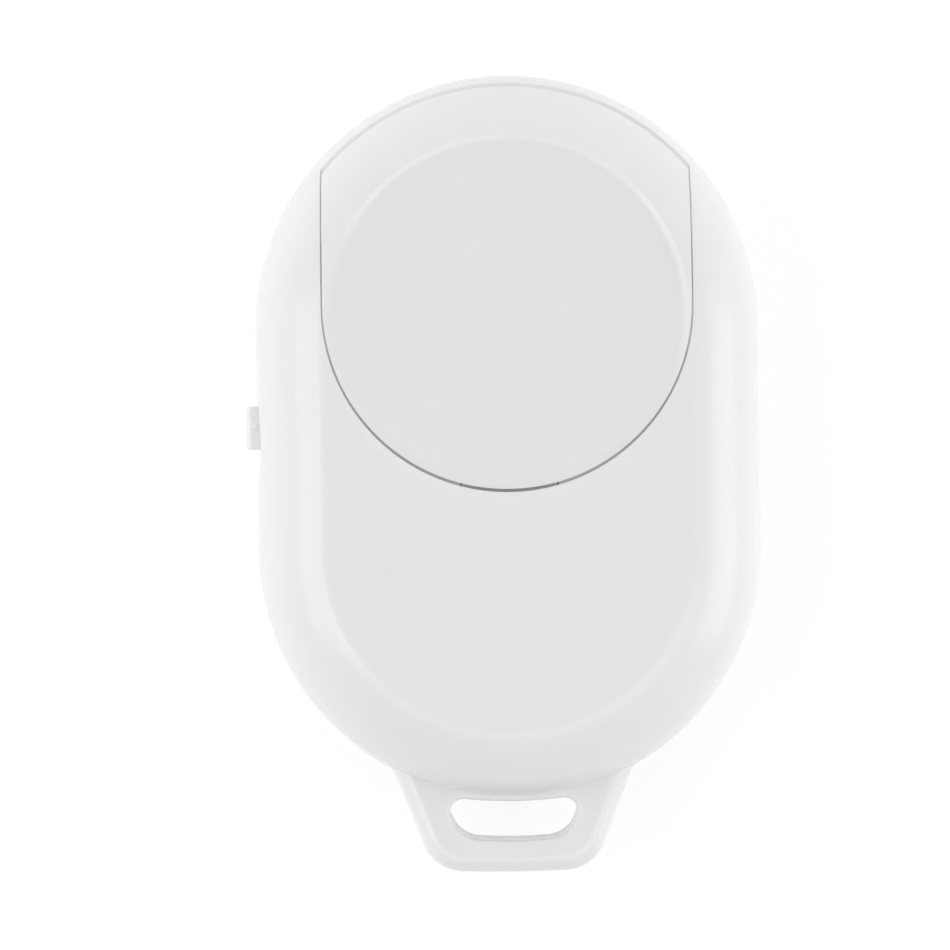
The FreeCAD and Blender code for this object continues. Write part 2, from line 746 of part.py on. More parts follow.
def make_rear_shell():
    body = new_body("rear_shell")
    loop_half(body, "parting_height", "loop_top", "loop_top")
    rear_dome(body)
    prism(body, "XY_Plane", "parting_height", "thickness", scoop, cut=True)
    # The hollow of the lower part, up to the bed that carries the door
    hollow = cavity_section("cavity_radius", "cavity_top", "rear_inner_bevel", "parting_height")
    turned(body, "0", "-half_straight", hollow, cut=True, sweep=180, backwards=True)
    prism(body, "XZ_Plane", "-half_straight", "bed_foot_y",
          lambda drawing: outline(drawing, both_halves(hollow)), cut=True)
    # The step that the front shell's lip fits
    prism(body, "XY_Plane", "parting_height", "parting_height + lip_height + lip_gap",
          lambda drawing: lower_u(drawing, "lip_outer + lip_gap", "half_straight"), cut=True)
    # The doorway, and the bed that the door slides on
    prism(body, "XY_Plane", "sill_top", "thickness + cut_margin", opening, cut=True)
    bed = cavity_section("bed_radius", "bed_top", "bed_bevel", "parting_height")
    long_solid(body, bed, low="bed_foot_y", ends=("high",))
    under = cavity_section("bed_inner_radius", "bed_underside", "bed_inner_bevel", "parting_height")
    long_solid(body, under, low="bed_foot_y", ends=("high",), cut=True)
    ledge = [("0", "parting_height"), ("cavity_radius", "parting_height"),
             ("cavity_radius", "sill_top - rear_wall"), ("0", "sill_top - rear_wall")]
    long_solid(body, ledge, low="bed_foot_y", ends=("high",), cut=True)
    # The wall round the coin cell and the screw bosses, which its well then trims
    ring(body, "0", "cell_y", "well_outer", "well_radius", "well_foot", "bed_underside + bed_wall / 2")
    side_rounds(body, "screw_x", "screw_y", "screw_boss_radius", "board_top", "screw_boss_top")
    prism(body, "XY_Plane", "board_top", "bed_top + cut_margin",
          lambda drawing: circle(drawing, "0", "cell_y", "well_radius"), cut=True)
    # The screws' holes with seats for the heads, and bosses over the locating pins
    side_rounds(body, "screw_x", "screw_y", "screw_radius + screw_clearance", "board_top",
                "screw_seat_height", cut=True)
    side_rounds(body, "screw_x", "screw_y", "screw_head_radius + screw_clearance", "screw_seat_height",
                "bed_top + cut_margin", cut=True)
    side_rounds(body, "pin_x", "-pin_y", "pin_post_radius", "board_top", "cavity_top + rear_wall / 4")
    side_rounds(body, "pin_x", "-pin_y", "pin_radius + pin_clearance", "board_top",
                "board_top + pin_rise + pin_clearance", cut=True)
    # Room for the door's tongue
    box(body, ("-tongue_half_width - tongue_side_gap", "door_foot_y - tongue_reach - tongue_room",
               "bed_underside - tongue_height - tongue_gap", "tongue_half_width + tongue_side_gap",
               "cell_y - well_radius + tongue_room", "bed_top"), cut=True)
    # Room for the door's two hooks: their stems above the bed, their toes under it
    hook_edge = "hook_inner_x + hook_width + hook_gap"
    hook_end = "hook_y + hook_stem / 2 + door_travel + hook_gap"
    hook_floor = "hook_top - hook_height - hook_room"
    side_boxes(body, ("hook_inner_x - hook_room", "hook_y - hook_stem / 2 - hook_gap", hook_floor,
                      hook_edge, hook_end, "bed_top + cut_margin"), cut=True)
    hook_start = "hook_y - hook_stem / 2 - hook_reach - hook_room"
    side_boxes(body, ("hook_inner_x - hook_room", hook_start, hook_floor,
                      hook_edge, hook_end, "bed_underside"), cut=True)
    # Room for the contact beside the cell
    box(body, ("-clip_width / 2 - clip_room", "cell_y - well_outer - cut_margin", "well_foot - cut_margin",
               "clip_width / 2 + clip_room", "cell_y - cell_radius + clip_room", "bed_underside"), cut=True)
    # The power switch's bay, and the slot that its slider comes out of
    box(body, ("-cavity_radius", "slot_y - bay_half", "parting_height",
               "slide_body_depth + slide_body_room - slide_front_x", "slot_y + bay_half",
               "slider_base + flange_height + bay_room"), cut=True)
    box(body, ("-body_radius - cut_margin", "slot_y - slot_half", "parting_height",
               "rear_side_wall / 2 - cavity_radius", "slot_y + slot_half",
               "slider_base + slider_height + slider_gap"), cut=True)
    thumb_dish(body)


def make_front_shell():
    body = new_body("front_shell")
    loop_half(body, "loop_bottom", "parting_height", "loop_bottom")
    prism(body, "XY_Plane", "0", "parting_height", lambda drawing: stadium(drawing, "body_radius"))
    rounded(body, "front_edge_round", "front_edge", lambda edge: level(edge, 0.0))
    prism(body, "XY_Plane", "0", "parting_height", scoop, cut=True)
    prism(body, "XY_Plane", "front_wall", "parting_height",
          lambda drawing: stadium(drawing, "front_cavity_radius"), cut=True)

    def lip(drawing):
        # A narrow wall round the lower part, inside the rear shell's step.
        top = "half_straight - lip_gap"
        outline(drawing, [
            ("-lip_outer", "-half_straight"),
            ("lip_outer", "-half_straight", "half"),
            ("lip_outer", top),
            ("front_cavity_radius", top),
            ("front_cavity_radius", "-half_straight"),
            ("-front_cavity_radius", "-half_straight", "half right"),
            ("-front_cavity_radius", top),
            ("-lip_outer", top),
        ])

    prism(body, "XY_Plane", "parting_height", "parting_height + lip_height", lip)
    box(body, ("-lip_outer - cut_margin", "slot_y - bay_half", "parting_height",
               "cut_margin - front_cavity_radius", "slot_y + bay_half",
               "parting_height + lip_height + cut_margin"), cut=True)
    # Posts for the screws and the board, and ribs under its long sides
    side_rounds(body, "screw_x", "screw_y", "screw_post_radius", "front_wall", "board_height")
    side_rounds(body, "screw_x", "screw_y", "screw_radius - screw_bite", "screw_foot - screw_tip_room",
                "board_height", cut=True)
    side_rounds(body, "pin_x", "-pin_y", "pin_post_radius", "front_wall", "board_height")
    side_rounds(body, "pin_x", "-pin_y", "pin_radius", "board_height", "board_top + pin_rise")
    side_boxes(body, ("front_cavity_radius - rest_rib_length", "-rest_rib_width / 2", "front_wall",
                      "front_cavity_radius + front_side_wall / 3", "rest_rib_width / 2", "board_height"))
    # Rings that guide the two buttons, then the holes that they and the light come through
    for radius, y in (("large_button_radius", "large_button_y"), ("small_button_radius", "small_button_y")):
        inner = f"{radius} + button_flange_width + guide_gap"
        ring(body, "0", y, f"{inner} + guide_wall", inner, "front_wall", "guide_top")

    def holes(drawing):
        circle(drawing, "0", "large_button_y", "large_button_radius + button_gap")
        circle(drawing, "0", "small_button_y", "small_button_radius + button_gap")
        circle(drawing, "0", "light_y", "light_radius + light_gap")

    prism(body, "XY_Plane", "0", "front_wall", holes, cut=True)
    smallest = value("small_button_radius")
    largest = value("large_button_radius + cut_margin")

    def button_rim(edge):
        return level(edge, 0.0) and hasattr(edge.Curve, "Radius") and smallest < edge.Curve.Radius < largest

    rounded(body, "hole_bevel", "button_bevel", button_rim, "Chamfer")


def make_door():
    body = new_body("battery_door")
    rear_dome(body)

    def around(drawing):
        # Everything outside the door's own outline.
        span = "body_radius + cut_margin"
        rectangle(drawing, f"-({span})", f"-half_straight - ({span})", span, f"half_straight + {span}")
        end_y = "half_straight + sqrt(door_end_radius * door_end_radius - door_half_width * door_half_width)"
        outline(drawing, [
            ("-door_half_width", "door_arc_y"),
            ("door_half_width", "door_arc_y", "half"),
            ("door_half_width", end_y),
            ("-door_half_width", end_y, "left", "door_end_radius"),
        ])

    below = "parting_height - cut_margin"
    prism(body, "XY_Plane", below, "thickness + cut_margin", around, cut=True)
    half = value("door_half_width")
    foot = FreeCAD.Vector(0, value("door_arc_y"), 0)
    end = FreeCAD.Vector(0, value("half_straight"), 0)
    lowest = value("flank_foot_height")

    def on_outline(point):
        flat = FreeCAD.Vector(point.x, point.y, 0)
        side = abs(abs(point.x) - half) < 1e-3 and point.y > foot.y - 1e-3
        at_foot = abs((flat - foot).Length - half) < 1e-3 and point.y < foot.y + 1e-3
        at_end = abs((flat - end).Length - value("door_end_radius")) < 1e-3
        return point.z > lowest and (side or at_foot or at_end)

    def top_edge(edge):
        middle = edge.valueAt((edge.FirstParameter + edge.LastParameter) / 2)
        ends = [vertex.Point for vertex in edge.Vertexes]
        return not upright(edge) and all(on_outline(point) for point in [middle] + ends)

    rounded(body, "door_edge_round", "outline_edges", top_edge)
    hollow = cavity_section("bed_radius + door_seat_gap", "door_underside",
                            "bed_bevel + door_seat_gap / 2", below)
    long_solid(body, hollow, ends=("high",), cut=True)
    prism(body, "XY_Plane", below, "sill_top + door_end_gap", lambda drawing: rectangle(
        drawing, "-body_radius", "0", "body_radius", "half_straight + body_radius"), cut=True)
    thumb_dish(body)
    # The tongue at the foot slips under the rear shell
    root_top = "door_underside + door_skin / 4"
    box(body, ("-tongue_half_width", "tongue_root_y", "tongue_top - tongue_height",
               "tongue_half_width", "tongue_root_y + tongue_root", root_top))
    box(body, ("-tongue_half_width", "door_foot_y - tongue_reach", "tongue_top - tongue_height",
               "tongue_half_width", "tongue_root_y + tongue_root / 2", "tongue_top"))
    # Two hooks that catch under the bed
    side_boxes(body, ("hook_inner_x", "hook_y - hook_stem / 2", "hook_top - hook_height",
                      "hook_inner_x + hook_width", "hook_y + hook_stem / 2", root_top))
    side_boxes(body, ("hook_inner_x", "hook_y - hook_stem / 2 - hook_reach", "hook_top - hook_height",
                      "hook_inner_x + hook_width", "hook_y", "hook_top"))
    # Two ribs that keep the cell down
    rib_foot = "cell_top + door_seat_gap"
    side_boxes(body, ("rib_spacing / 2 - rib_width / 2", "cell_y - rib_length / 2", rib_foot,
                      "rib_spacing / 2 + rib_width / 2", "cell_y + rib_length / 2", root_top))


def make_button(label, radius, y):
    # A round button with a dished face, a flange inside the front wall and a nub behind it.
    body = new_body(label)
    face = f"{radius} - button_bevel"
    flange = f"{radius} + button_flange_width"
    turned(body, "0", y, [
        ("0", "button_recess + button_dish"),
        (f"{face} - button_rim - button_ramp", "button_recess + button_dish"),
        (f"{face} - button_rim", "button_recess"),
        (face, "button_recess"),
        (radius, "button_recess + button_bevel"),
        (radius, "button_flange_foot"),
        (flange, "button_flange_foot"),
        (flange, "button_back"),
        ("button_nub_radius", "button_back"),
        ("button_nub_radius", "nub_top"),
        ("0", "nub_top"),
    ])


def make_switch_base(prefix, y):
    half = "switch_width / 2"
    base = new_body(prefix + "_switch_base")
    box(base, (f"-{half}", f"{y} - {half}", "switch_face + switch_sheet",
               half, f"{y} + {half}", "board_height"))
    prism(base, "XY_Plane", "switch_face + switch_sheet", "switch_floor",
          lambda drawing: circle(drawing, "0", y, "switch_bore_radius"), cut=True)
    side = value(half) - 1e-3
    rounded(base, "switch_sheet", "corners",
            lambda edge: upright(edge) and abs(edge.CenterOfMass.x) > side)


def make_switch_cover(prefix, y):
    half = "switch_width / 2"
    top = "switch_face + switch_sheet"
    cover = new_body(prefix + "_switch_cover")
    box(cover, (f"-{half}", f"{y} - {half}", "switch_face", half, f"{y} + {half}", top))
    side_boxes(cover, (half, f"{y} - skirt_width / 2", "switch_face",
                       f"{half} + switch_sheet", f"{y} + skirt_width / 2", f"{top} + skirt_depth"))
    prism(cover, "XY_Plane", "switch_face", top,
          lambda drawing: circle(drawing, "0", y, "plunger_radius + plunger_gap"), cut=True)


def make_switch_plunger(prefix, y):
    plunger = new_body(prefix + "_switch_plunger")
    flange_foot = "switch_face + switch_sheet + plunger_gap / 2"
    turned(plunger, "0", y, [
        ("0", "plunger_tip"),
        ("plunger_radius", "plunger_tip"),
        ("plunger_radius", flange_foot),
        ("plunger_flange_radius", flange_foot),
        ("plunger_flange_radius", f"{flange_foot} + plunger_flange_height"),
        ("0", f"{flange_foot} + plunger_flange_height"),
    ])


def make_switch_dome(prefix, y):
    dome = new_body(prefix + "_switch_dome")
    turned(dome, "0", y, [
        ("0", "switch_floor - dome_rise"),
        ("dome_radius", "switch_floor", "left", "dome_arc"),
        ("dome_inner_radius", "switch_floor"),
        ("0", "switch_floor - dome_inner_rise", "right", "dome_inner_arc"),
    ])


def make_switch_legs(prefix, y):
    legs = new_body(prefix + "_switch_legs")
    for sign in ("+", "-"):
        centre = f"{y} {sign} leg_spacing / 2"
        side_boxes(legs, ("switch_width / 2", f"{centre} - leg_width / 2", "board_height - leg_sheet",
                          "switch_width / 2 + leg_length", f"{centre} + leg_width / 2", "board_height"))


def make_power_slider():
    # The knob outside, and the flange that keeps it behind the wall.
    slider = new_body("power_slider")
    outer = "-body_radius - slider_reach"
    inner_x = "flange_sheet - slider_wall_x"
    top = "slider_base + slider_height"
    box(slider, (outer, "slider_y - slider_length / 2", "slider_base",
                 "-slider_wall_x", "slider_y + slider_length / 2", top))
    far = value(outer)
    rounded(slider, "slider_edge_round", "knob_edge", lambda edge: abs(edge.CenterOfMass.x - far) < 1e-4)

    def ridge(drawing):
        # A low finger ridge across the knob's rear side.
        outline(drawing, [
            ("slider_y - slider_ridge_half", top),
            ("slider_y + slider_ridge_half", top),
            ("slider_y", f"{top} + slider_ridge_height"),
        ])

    prism(slider, "YZ_Plane", f"{outer} + slider_edge_round", "-body_radius", ridge)
    box(slider, ("-slider_wall_x", "slider_y - flange_half", "slider_base",
                 inner_x, "slider_y + flange_half", "slider_base + flange_height"))
    box(slider, ("-slider_wall_x - lever_gap", "slider_y - lever_length / 2", "board_top + lever_rise",
                 f"{inner_x} + cut_margin", "slider_y + lever_length / 2",
                 "board_top + lever_rise + lever_height"), cut=True)


def make_slide_switch():
    # The slide switch on the board: a lever, a base and a sheet can.
    lever = new_body("slide_switch_lever")
    box(lever, ("lever_gap / 2 - slider_wall_x", "slider_y - lever_length / 2", "board_top + lever_rise",
                "lever_root - slide_front_x", "slider_y + lever_length / 2",
                "board_top + lever_rise + lever_height"))
    low_y = "slot_y - slide_body_length / 2"
    high_y = "slot_y + slide_body_length / 2"
    back_x = "slide_body_depth - slide_front_x"
    foot = "board_top + slide_base_height"
    base = new_body("slide_switch_base")
    box(base, ("-slide_front_x", low_y, "board_top", back_x, high_y, foot))
    can = new_body("slide_switch_can")
    box(can, ("-slide_front_x", low_y, foot, back_x, high_y, "board_top + slide_body_height"))
    box(can, ("slide_can_sheet - slide_front_x", f"{low_y} + slide_can_sheet", foot,
              f"{back_x} - slide_can_sheet", f"{high_y} - slide_can_sheet",
              "board_top + slide_body_height - slide_can_sheet"), cut=True)
    sweep = "lever_length / 2 + slider_travel / 2 + lever_gap"
    box(can, ("-slide_front_x - cut_margin", f"slot_y - ({sweep})", foot,
              "slide_can_sheet + lever_gap - slide_front_x", f"slot_y + {sweep}",
              "board_top + lever_rise + lever_height + lever_gap / 2"), cut=True)


def make_board():
    board = new_body("circuit_board")
    prism(board, "XY_Plane", "board_height", "board_top", lambda drawing: stadium(drawing, "board_radius"))
    side_rounds(board, "screw_x", "screw_y", "screw_radius + screw_clearance",
                "board_height", "board_top", cut=True)
    side_rounds(board, "pin_x", "-pin_y", "pin_radius + pin_clearance / 2",
                "board_height", "board_top", cut=True)


def make_antenna():
    # A copper strip that folds to and fro along the board's lower edge.
    trace = new_body("antenna_trace")
    turns = int(value("antenna_fold_count"))
    low_y = "antenna_margin - half_straight - board_radius"
    high_y = f"{low_y} + antenna_length"
    half = "antenna_width / 2"

    def strips(drawing):
        for number in range(-turns, turns + 1):
            middle = f"antenna_step * ({number})"
            rectangle(drawing, f"{middle} - {half}", low_y, f"{middle} + {half}", high_y)

    prism(trace, "XY_Plane", "board_top", "board_top + antenna_sheet", strips)
    for number in range(-turns, turns):
        # The strips are joined at their lower ends and at their upper ends in turn.
        joined_low = (number + turns) % 2 == 0
        row_y = low_y if joined_low else f"{high_y} - antenna_width"
        row_top = f"{row_y} + antenna_width"
        box(trace, (f"antenna_step * ({number})", row_y, "board_top",
                    f"antenna_step * ({number + 1})", row_top, "board_top + antenna_sheet"))


def make_chips():
    for label in ("radio_chip", "memory_chip", "crystal_can"):
        chip = new_body(label)
        box(chip, (f"{label}_x - {label}_length / 2", f"{label}_y - {label}_width / 2", "board_top",
                   f"{label}_x + {label}_length / 2", f"{label}_y + {label}_width / 2",
                   f"board_top + {label}_height"))
        if label == "crystal_can":
            rounded(chip, "crystal_can_round", "corners", upright)


def make_small_parts():
    # Rows of equal small blocks, centred on the board's middle line.
    for label in ("capacitors", "resistors"):
        group = new_body(label)
        count = int(value(label + "_count"))

        def row(drawing, count=count, label=label):
            for number in range(count):
                middle_x = f"{label}_step * ({number} - {(count - 1) / 2})"
                rectangle(drawing, f"{middle_x} - {label}_width / 2", f"{label}_y - {label}_length / 2",
                          f"{middle_x} + {label}_width / 2", f"{label}_y + {label}_length / 2")

        prism(group, "XY_Plane", "board_top", f"board_top + {label}_height", row)


def make_light():
    light = new_body("status_led")
    box(light, ("-led_length / 2", "light_y - led_width / 2", "board_height - led_height",
                "led_length / 2", "light_y + led_width / 2", "board_height"))
    window = new_body("led_window")
    top = "board_height - led_height - light_pipe_gap"
    turned(window, "0", "light_y", [
        ("0", "light_recess"),
        ("light_radius", "light_recess"),
        ("light_radius", "front_wall"),
        ("light_radius + light_flange", "front_wall"),
        ("light_radius + light_flange", "front_wall + light_flange_height"),
        ("light_radius", "front_wall + light_flange_height"),
        ("light_radius", top),
        ("0", top),
    ])


def make_cell():
    # The coin cell: a can crimped over a gasket, and the smaller cap below.
    seat = "cell_radius - crimp_width"
    inner = f"{seat} - gasket_width"
    joint = "cell_foot + gasket_depth"
    can = new_body("cell_can")
    turned(can, "0", "cell_y", [
        ("0", joint),
        (seat, joint),
        (seat, "cell_foot + crimp_rise"),
        ("cell_radius", "cell_foot + crimp_rise"),
        ("cell_radius", "cell_top"),
        ("0", "cell_top"),
    ])
    rim = value("cell_top")
    rounded(can, "cell_edge_bevel", "rim", lambda edge: level(edge, rim), "Chamfer")
    gasket = new_body("cell_gasket")
    turned(gasket, "0", "cell_y", [
        (inner, "cell_foot + gasket_lip"),
        (seat, "cell_foot + gasket_lip"),
        (seat, joint),
        (inner, joint),
    ])
    cap = new_body("cell_cap")
    turned(cap, "0", "cell_y", [("0", "cell_foot"), (inner, "cell_foot"), (inner, joint), ("0", joint)])


def make_negative_contact():
    # A foot on the board, a ramp, and a flat that touches the cell from below.
    spring = new_body("negative_contact")
    foot_y = "cell_y - leaf_setback"
    ramp_y = f"{foot_y} + leaf_foot"
    flat_y = f"{ramp_y} + leaf_ramp"
    end_y = f"{flat_y} + leaf_flat"

    def leaf(drawing):
        outline(drawing, [
            (foot_y, "board_top"),
            (ramp_y, "board_top"),
            (flat_y, "cell_foot - contact_sheet"),
            (end_y, "cell_foot - contact_sheet"),
            (end_y, "cell_foot"),
            (f"{flat_y} - leaf_bend", "cell_foot"),
            (f"{ramp_y} - leaf_bend", "board_top + contact_sheet"),
            (foot_y, "board_top + contact_sheet"),
        ])

    prism(spring, "YZ_Plane", "-leaf_width / 2", "leaf_width / 2", leaf)


def make_positive_contact():
    # A foot on the board and an upright leaf beside the cell's can.
    side = new_body("positive_contact")
    wall_y = "cell_y - cell_radius - contact_gap"
    top = "cell_top - clip_drop"

    def clip(drawing):
        outline(drawing, [
            (f"{wall_y} - clip_foot", "board_top"),
            (wall_y, "board_top"),
            (wall_y, top),
            (f"{wall_y} - contact_sheet", top),
            (f"{wall_y} - contact_sheet", "board_top + contact_sheet"),
            (f"{wall_y} - clip_foot", "board_top + contact_sheet"),
        ])

    prism(side, "YZ_Plane", "-clip_width / 2", "clip_width / 2", clip)


def make_screws():
    # Two pointed screws with flat heads, from the rear shell into the front shell's posts.
    screws = new_body("case_screws")
    head_top = "screw_seat_height + screw_head_height"
    for side in ("", "-"):
        turned(screws, f"{side}screw_x", "screw_y", [
            ("0", "screw_foot"),
            ("screw_radius / 2", "screw_foot"),
            ("screw_radius", "screw_foot + screw_radius"),
            ("screw_radius", "screw_seat_height"),
            ("screw_head_radius", "screw_seat_height"),
            ("screw_head_radius", head_top),
            ("0", head_top),
        ])


make_rear_shell()
make_front_shell()
make_door()
for size in ("large", "small"):
    middle = size + "_button_y"
    make_button(size + "_button", size + "_button_radius", middle)
    make_switch_base(size, middle)
    make_switch_cover(size, middle)
    make_switch_plunger(size, middle)
    make_switch_dome(size, middle)
    make_switch_legs(size, middle)
make_power_slider()
make_slide_switch()
make_board()
make_antenna()
make_chips()
make_small_parts()
make_light()
make_cell()
make_negative_contact()
make_positive_contact()
make_screws()

doc.recompute()
for item in doc.Objects:
    if "Invalid" in item.State or "Error" in item.State:
        raise ValueError(f"{item.Name} failed: {item.State}")
for node in nodes:
    if node.Shape.isNull() or not node.Shape.isValid():
        raise ValueError(f"{node.Label} has no sound shape")
os.makedirs("parts", exist_ok=True)
for node in nodes:
    node.Shape.exportStep(f"parts/{node.Label}.step")
    print(f"{node.Label}: {len(node.Shape.Solids)} solids, {node.Shape.Volume:.2f} mm3")
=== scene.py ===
import math

import bpy
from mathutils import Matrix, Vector

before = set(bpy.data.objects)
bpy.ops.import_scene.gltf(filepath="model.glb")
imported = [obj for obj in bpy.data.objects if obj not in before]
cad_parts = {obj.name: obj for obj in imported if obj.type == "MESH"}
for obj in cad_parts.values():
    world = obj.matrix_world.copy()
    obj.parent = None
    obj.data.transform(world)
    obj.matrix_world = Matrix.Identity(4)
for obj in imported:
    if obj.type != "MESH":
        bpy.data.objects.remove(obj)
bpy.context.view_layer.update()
print("frame loaded:", len(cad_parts), "solids")


# small helpers for shader nodes

def addNode(tree, kind, sockets, **settings):
    # each socket takes a plain value or the output of another node
    node = tree.nodes.new(kind)
    for name, value in settings.items():
        setattr(node, name, value)
    for place, value in sockets.items():
        if isinstance(value, bpy.types.NodeSocket):
            tree.links.new(value, node.inputs[place])
        else:
            node.inputs[place].default_value = value
    return node


def newMaterial(name):
    material = bpy.data.materials.new(name)
    material.use_nodes = True
    material.node_tree.nodes.clear()
    return material, material.node_tree


def coverWith(tree, sockets):
    # the surface shader of a material and its output
    shader = addNode(tree, "ShaderNodeBsdfPrincipled", sockets)
    addNode(tree, "ShaderNodeOutputMaterial", {"Surface": shader.outputs["BSDF"]})


def objectPoint(tree, scale=(1.0, 1.0, 1.0), angle=0.0):
    # object coordinates, stretched and turned about Z
    place = addNode(tree, "ShaderNodeTexCoord", {})
    mapping = addNode(tree, "ShaderNodeMapping", {
        "Vector": place.outputs["Object"],
        "Scale": scale,
        "Rotation": (0.0, 0.0, angle),
    })
    return mapping.outputs["Vector"]


def noiseField(tree, point, scale, detail=2.0, rough=0.5):
    noise = addNode(tree, "ShaderNodeTexNoise", {
        "Vector": point,
        "Scale": scale,
        "Detail": detail,
        "Roughness": rough,
    })
    return noise.outputs["Fac"]


def remap(tree, field, low, high, fromLow=0.3, fromHigh=0.7):
    # a field stretched to run from low to high
    node = addNode(tree, "ShaderNodeMapRange", {
        "Value": field,
        "From Min": fromLow,
        "From Max": fromHigh,
        "To Min": low,
        "To Max": high,
    })
    return node.outputs["Result"]


def calculate(tree, operation, *terms):
    return addNode(tree, "ShaderNodeMath", dict(enumerate(terms)), operation=operation).outputs[0]


def opaque(colour):
    # three numbers get full cover, the output of a node stays as it is
    return (*colour, 1.0) if isinstance(colour, tuple) else colour


def blendColours(tree, field, first, second):
    sockets = {0: field, 6: opaque(first), 7: opaque(second)}
    return addNode(tree, "ShaderNodeMix", sockets, data_type="RGBA").outputs[2]


def bumps(tree, layers):
    # height fields one over the other, each with its depth in metres
    below = {}
    for field, depth in layers:
        sockets = {"Height": field, "Strength": 1.0, "Distance": depth, **below}
        below = {"Normal": addNode(tree, "ShaderNodeBump", sockets).outputs["Normal"]}
    return below["Normal"]


def seenDirectly(tree, shown, other):
    # one strength for rays that see a thing straight, in gloss or through glass, another for the rest
    path = addNode(tree, "ShaderNodeLightPath", {})
    straight = path.outputs["Is Camera Ray"]
    for kind in ("Is Glossy Ray", "Is Transmission Ray"):
        straight = calculate(tree, "MAXIMUM", straight, path.outputs[kind])
    return remap(tree, straight, other, shown, 0.0, 1.0)


# moulded white plastic: a clean satin gloss with faint flow lines and a fine orange peel, with a painted
# glow in narrow gaps and painted shade in the shells' seam

shellPlastic = {
    "colour": (0.792, 0.792, 0.793),
    "paler": (0.808, 0.808, 0.808),
    "cloudScale": 70.0,
    "roughness": (0.20, 0.27),
    "wipeScale": 900.0,
    "wipeStretch": (1.0, 0.35, 1.0),
    "wipeAngle": 0.4,
    "refraction": 1.53,
    "peelScale": 2600.0,
    "peelDepth": 0.0000016,
    "flowScale": 150.0,
    "flowDepth": 0.000006,
    "softness": 0.3,
    "softnessReach": 0.0012,
    "softnessSpread": (1.0, 0.95, 0.9),
    # painted light: the white glow given to the plastic inside narrow gaps, its reach, and the occlusion
    # range over which it fades
    "gapGlow": 0.13,
    "gapReach": 0.0003,
    "gapShut": 0.15,
    "gapOpen": 0.6,
}
doorPlastic = dict(
    shellPlastic,
    colour=(0.788, 0.788, 0.788),
    paler=(0.804, 0.804, 0.803),
    flowScale=110.0,
)
buttonPlastic = dict(
    shellPlastic,
    colour=(0.772, 0.772, 0.773),
    paler=(0.787, 0.787, 0.787),
    roughness=(0.26, 0.34),
)
# painted light: the slider is the same white plastic, made paler to stand in for the stronger light that
# falls on it from the left
sliderPlasticPaintedLight = dict(
    shellPlastic,
    colour=(0.84, 0.84, 0.84),
    paler=(0.86, 0.86, 0.86),
    roughness=(0.24, 0.30),
)
# the groove where the shells meet: a real shallow bump, and a dark colour in it that is painted shade
seamGrooveAndShade = {
    "height": 0.005,
    "half": 0.00006,
    "halfFloor": 0.00002,
    "depth": 0.00005,
    "colour": (0.36, 0.36, 0.365),
}


def seamField(tree, seam):
    # 0 in the level groove where the two shells meet, 1 away from it; it carries the groove's bump and
    # its painted shade
    place = addNode(tree, "ShaderNodeTexCoord", {})
    parts = addNode(tree, "ShaderNodeSeparateXYZ", {0: place.outputs["Object"]})
    away = calculate(tree, "ABSOLUTE", calculate(tree, "SUBTRACT", parts.outputs["Z"], seam["height"]))
    return remap(tree, away, 0.0, 1.0, seam["halfFloor"], seam["half"])


def paintedGapGlow(tree, look):
    # painted light: the plastic glows where ambient occlusion finds a narrow gap between walls, so that
    # the gap is grey and not black
    shade = addNode(tree, "ShaderNodeAmbientOcclusion", {"Distance": look["gapReach"]}, samples=4)
    return remap(tree, shade.outputs["AO"], look["gapGlow"], 0.0, look["gapShut"], look["gapOpen"])


def whitePlastic(name, look, seam=None):
    material, tree = newMaterial(name)
    material.cycles.emission_sampling = "NONE"
    point = objectPoint(tree)
    cloud = noiseField(tree, point, look["cloudScale"], 3.0)
    colour = blendColours(tree, cloud, look["colour"], look["paler"])
    wiped = objectPoint(tree, look["wipeStretch"], look["wipeAngle"])
    wipe = noiseField(tree, wiped, look["wipeScale"], 4.0, 0.6)
    layers = [
        (noiseField(tree, point, look["flowScale"], 1.0), look["flowDepth"]),
        (noiseField(tree, point, look["peelScale"]), look["peelDepth"]),
    ]
    if seam:
        groove = seamField(tree, seam)
        # painted shade: the seam groove darkened in the colour
        colour = blendColours(tree, groove, seam["colour"], colour)
        layers.append((groove, seam["depth"]))
    coverWith(tree, {
        "Base Color": colour,
        "Roughness": remap(tree, wipe, *look["roughness"]),
        "IOR": look["refraction"],
        "Subsurface Weight": look["softness"],
        "Subsurface Scale": look["softnessReach"],
        "Subsurface Radius": look["softnessSpread"],
        # painted light: a white glow inside narrow gaps
        "Emission Color": (1.0, 1.0, 1.0, 1.0),
        "Emission Strength": paintedGapGlow(tree, look),
        "Normal": bumps(tree, layers),
    })
    return material


# metals

sheetSteel = {"colour": (0.62, 0.62, 0.61), "darker": (0.52, 0.52, 0.52),
              "roughness": (0.22, 0.4), "grain": 7200.0}
springSteel = {"colour": (0.72, 0.69, 0.60), "darker": (0.60, 0.57, 0.50),
               "roughness": (0.18, 0.34), "grain": 10400.0}
cellSteel = {"colour": (0.66, 0.66, 0.67), "darker": (0.58, 0.58, 0.59),
             "roughness": (0.2, 0.36), "grain": 4800.0}
screwSteel = {"colour": (0.30, 0.30, 0.31), "darker": (0.17, 0.17, 0.18),
              "roughness": (0.3, 0.5), "grain": 14000.0}
goldCopper = {"colour": (0.86, 0.62, 0.30), "darker": (0.74, 0.48, 0.22),
              "roughness": (0.25, 0.42), "grain": 12000.0}
rolling = {
    "stretch": (1.0, 0.04, 1.0),
    "scratchDepth": 0.0000012,
    "tarnishScale": 260.0,
    "tarnishDepth": 0.000002,
}


